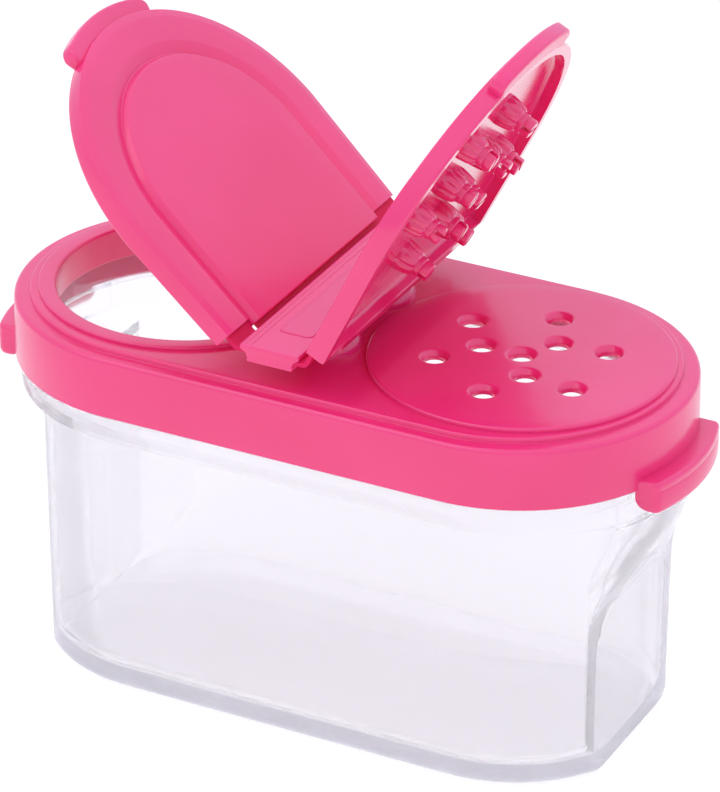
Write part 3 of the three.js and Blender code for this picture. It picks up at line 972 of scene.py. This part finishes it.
def carve(name, base, cutters):
    """The base skin with each cutter taken away, as a mesh."""
    target = new_object(name, mesh_of(name, base))
    spare = []
    for i, cutter in enumerate(cutters):
        tool_name = f"{name}_cut{i}"
        tool = new_object(tool_name, mesh_of(tool_name, cutter))
        cut = target.modifiers.new("cut", "BOOLEAN")
        cut.operation = "DIFFERENCE"
        cut.solver = "EXACT"
        cut.object = tool
        spare.append(tool)
    done = target.evaluated_get(bpy.context.evaluated_depsgraph_get())
    mesh = bpy.data.meshes.new_from_object(done)
    for obj in [target, *spare]:
        bpy.data.objects.remove(obj)
    return mesh


def crisp(mesh, sharp_deg):
    """A carved mesh with its meeting points joined and its edges marked smooth or sharp."""
    bm = bmesh.new()
    bm.from_mesh(mesh)
    bmesh.ops.remove_doubles(bm, verts=bm.verts, dist=WELD)
    shade(bm, sharp_deg)
    bm.to_mesh(mesh)
    bm.free()
    return mesh


def tub_mesh():
    """Clear tub: wall, flange and neck, hollowed, with its panel and finger room cut."""
    base_in = TUB_BASE_R - TUB_WALL
    top_in = TUB_TOP_R - TUB_WALL
    neck_in = NECK_R - NECK_WALL
    outer = rounded([
        (TUB_BASE_R - 3.4, 0.0, 0),
        (TUB_BASE_R, 0.0, 1.6),
        *wall_levels(TUB_BASE_R, TUB_TOP_R),
        (TUB_TOP_R, FLANGE_Z - 0.1, 0.4),
        (FLANGE_R - 0.15, FLANGE_Z + 0.75, 0.4),
        (FLANGE_R, FLANGE_TOP, 0.25),
        (NECK_R, FLANGE_TOP, 0.3),
        (NECK_R, NECK_TOP, 0.35),
        (neck_in, NECK_TOP, 0),
    ])
    hollow = rounded([
        (base_in - 6.5, TUB_FLOOR, 0),
        (base_in, TUB_FLOOR, 3.0),
        *wall_levels(base_in, top_in),
        (top_in, FLANGE_Z - 0.8, 1.0),
        (neck_in, FLANGE_Z + 1.2, 1.0),
        (neck_in, NECK_TOP - 0.3, 0.1),
        (neck_in + 0.25, NECK_TOP + 0.02, 0),
        (neck_in + 0.25, NECK_TOP + 2.0, 0),
    ])
    inner = closed_loft(tub_rows(hollow, TUB_WALL))
    cutters = [panel_pocket(), finger_room(1), finger_room(-1), inner]
    return crisp(carve("tub_body", closed_loft(tub_rows(outer, 0.0)), cutters), TUB_SHARP_DEG)


# ---- the pieces ----
POUR_DEG = -joint("pour_hinge")["range_deg"][0]
SHAKER_DEG = -joint("shaker_hinge")["range_deg"][0]
at_pour = swing(-1, POUR_DEG)
at_shaker = swing(1, SHAKER_DEG)

piece("tub_clear", tub_mesh(), clear, "tub_body", ["tub"])
piece("cap_skirt_and_deck", cap_shell(), satin, "cap_body", ["cap_shell"])
piece("pour_ring_turned", pour_ring(), satin, "cap_body", ["pour_ring"])
piece("sifter_disc_drilled", sifter_disc(), satin, "cap_body", ["sifter_disc"])
piece("pull_tab_right_bar", pull_tab(1), satin, "cap_body", ["pull_tab_right"])
piece("pull_tab_left_bar", pull_tab(-1), satin, "cap_body", ["pull_tab_left"])
for end in ("front", "back"):
    low, high = box_mm(f"lid_post_{end}")
    post = lid_post((low[1] + high[1]) / 2)
    piece(f"snap_post_{end}", post, gloss, "cap_body", [f"lid_post_{end}"])
piece("lid_strip", hinge_strip(), satin, "cap_body", ["hinge_strip"])
web_piece("web_sheet_pour", -1, POUR_DEG, "hinge_web_pour")
web_piece("web_sheet_shaker", 1, SHAKER_DEG, "hinge_web_shaker")

pour_body = "pour_flap_body"
pour_flap = flap_mesh("pour_flap", True, at_pour)
piece("pour_flap_plate", pour_flap, satin, pour_body, ["pour_flap"])
piece("pour_thumb_lip", thumb_tab().placed(at_pour), satin, pour_body, ["pour_thumb_tab"])
piece("pour_seal", seal_ring().placed(at_pour), gloss, pour_body, ["pour_seal_ring"])

shaker_body = "shaker_flap_body"
shaker_flap = flap_mesh("shaker_flap", False, at_shaker)
shaker_tab = thumb_tab().placed(at_shaker)
piece("shaker_flap_plate", shaker_flap, gloss, shaker_body, ["shaker_flap"])
piece("shaker_thumb_lip", shaker_tab, satin, shaker_body, ["shaker_thumb_tab"])
for i, (x, y) in enumerate(hole_spots(), 1):
    turn = PIN_FIRST_TURN + i * PIN_NEXT_TURN
    pin = plug_pin((DISC_X + x - HINGE_X, y), turn).placed(at_shaker)
    piece(f"pin_{i:02d}_split", pin, gloss, shaker_body, [f"plug_pin_{i:02d}"])


# ---- floor, light and camera ----
FLOOR_HALF = 4000               # millimetres
FLOOR_Z = -0.1
FLOOR_TONES = ((0.22, 0.22, 0.22, 1), (0.25, 0.25, 0.25, 1))
FLOOR_GLOW = 0.84
TENT_SIDE = (0.51, 0.62, 0.80, 1)
TENT_TOP = (0.95, 0.96, 1.20, 1)
TENT_TOP_AT = 0.65
TENT_STRENGTH = 1.08
LAMP_SIZE = 0.9                 # metres, as are the places below
LAMP_POWER = 2.0
LAMP_AT = (-0.5, -0.7, 1.1)
LAMP_AIM = (0, 0, 0.04)
CAMERA_AT = (0.27210, -0.52676, 0.35933)
CAMERA_DOWN_DEG = 28.17
CAMERA_TURN_DEG = 27.22
CAMERA_LENS = 226.3
LIGHT_BOUNCES = 28              # light goes through many walls of the clear tub
VOLUME_BOUNCES = 8


def pale_floor():
    skin = Skin()
    corners = ((-1, -1), (1, -1), (1, 1), (-1, 1))
    edge = skin.row([(x * FLOOR_HALF, y * FLOOR_HALF, FLOOR_Z) for x, y in corners])
    skin.faces.append(tuple(edge))
    n = Nodes("pale_floor")
    tone = n.mix(n.span(n.noise(9.0, 2.0), 0.3, 0.7, 0.0, 1.0), *FLOOR_TONES)
    shader = n.add("ShaderNodeBsdfPrincipled", Base_Color=tone, Roughness=0.8,
                   Specular_IOR_Level=0.0, Emission_Color=(1, 1, 1, 1),
                   Emission_Strength=FLOOR_GLOW)
    n.add("ShaderNodeOutputMaterial", Surface=shader.outputs["BSDF"])
    floor = new_object("floor", mesh_of("floor", skin), n.material)
    floor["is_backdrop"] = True


def white_tent():
    """World light, brighter from above than from the sides."""
    world = bpy.data.worlds.new("white_tent")
    bpy.context.scene.world = world
    world.use_nodes = True
    tree = world.node_tree
    tent = tree.nodes["Background"]
    tent.inputs["Strength"].default_value = TENT_STRENGTH
    place = tree.nodes.new("ShaderNodeTexCoord")
    split = tree.nodes.new("ShaderNodeSeparateXYZ")
    ramp = tree.nodes.new("ShaderNodeValToRGB")
    ramp.color_ramp.elements[0].color = TENT_SIDE
    ramp.color_ramp.elements[1].color = TENT_TOP
    ramp.color_ramp.elements[1].position = TENT_TOP_AT
    tree.links.new(place.outputs["Generated"], split.inputs["Vector"])
    tree.links.new(split.outputs["Z"], ramp.inputs["Fac"])
    tree.links.new(ramp.outputs["Color"], tent.inputs["Color"])


def soft_key():
    lamp = bpy.data.lights.new("soft_key", "AREA")
    lamp.shape = "RECTANGLE"
    lamp.size = LAMP_SIZE
    lamp.size_y = LAMP_SIZE
    lamp.energy = LAMP_POWER
    key = new_object("soft_key", lamp)
    key.location = LAMP_AT
    key.rotation_euler = (Vector(LAMP_AIM) - key.location).to_track_quat("-Z", "Y").to_euler()


def camera():
    data = bpy.data.cameras.new("camera")
    data.lens = CAMERA_LENS
    data.sensor_width = 36.0
    data.clip_end = 50.0
    obj = new_object("camera", data)
    obj.location = CAMERA_AT
    obj.rotation_euler = (math.radians(90 - CAMERA_DOWN_DEG), 0.0, math.radians(CAMERA_TURN_DEG))
    bpy.context.scene.camera = obj


pale_floor()
white_tent()
soft_key()
camera()
bpy.context.scene.view_settings.view_transform = "Standard"
bpy.context.scene.cycles.volume_bounces = VOLUME_BOUNCES
bpy.context.scene.cycles.max_bounces = LIGHT_BOUNCES
bpy.context.scene.cycles.transmission_bounces = LIGHT_BOUNCES

low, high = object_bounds()
